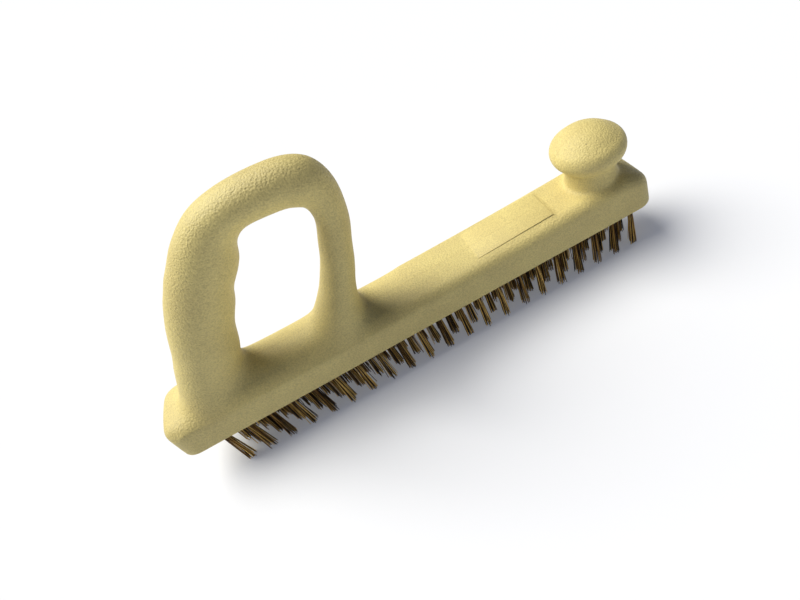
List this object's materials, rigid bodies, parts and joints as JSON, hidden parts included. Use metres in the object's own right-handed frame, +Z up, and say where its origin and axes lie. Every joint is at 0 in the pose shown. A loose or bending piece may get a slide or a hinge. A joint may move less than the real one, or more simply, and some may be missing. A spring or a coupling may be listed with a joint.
{
  "type": "wire brush",
  "caption": "Long two-handed wire scratch brush: one-piece foam block with a closed D handle, a front knob and a label pad, and staggered wire tufts held by flat anchors.",
  "frame": {"origin": "centre of the brush's footprint, in the plane of the tuft tips", "axes": "+X along the block from the D handle to the knob, +Y across the block, +Z up, away from the tufts"},
  "size_m": [0.3709, 0.0532, 0.171],
  "materials": {
    "foam": "cream yellow integral-skin foam moulding with a fine leathery grain, satin",
    "wire": "drawn brass-coated steel wire, dulled gold brown",
    "anchor": "flat galvanised anchor wire"
  },
  "bodies": {
    "root": {"anchors_row_1": "anchor", "anchors_row_2": "anchor", "anchors_row_3": "anchor", "anchors_row_4": "anchor", "anchors_row_5": "anchor", "anchors_row_6": "anchor", "handle_block": "foam", "tufts_column_01": "wire", "tufts_column_02": "wire", "tufts_column_03": "wire", "tufts_column_04": "wire", "tufts_column_05": "wire", "tufts_column_06": "wire", "tufts_column_07": "wire", "tufts_column_08": "wire", "tufts_column_09": "wire", "tufts_column_10": "wire", "tufts_column_11": "wire", "tufts_column_12": "wire", "tufts_column_13": "wire", "tufts_column_14": "wire", "tufts_column_15": "wire", "tufts_column_16": "wire", "tufts_column_17": "wire", "tufts_column_18": "wire", "tufts_column_19": "wire", "tufts_column_20": "wire", "tufts_column_21": "wire", "tufts_column_22": "wire", "tufts_column_23": "wire", "tufts_column_24": "wire", "tufts_column_25": "wire", "tufts_column_26": "wire", "tufts_column_27": "wire", "tufts_column_28": "wire", "tufts_column_29": "wire", "tufts_column_30": "wire", "tufts_column_31": "wire", "tufts_column_32": "wire", "tufts_column_33": "wire", "tufts_column_34": "wire", "tufts_column_35": "wire", "tufts_column_36": "wire", "tufts_column_37": "wire", "tufts_column_38": "wire", "tufts_column_39": "wire", "tufts_column_40": "wire", "tufts_column_41": "wire"}
  },
  "joints": []
}
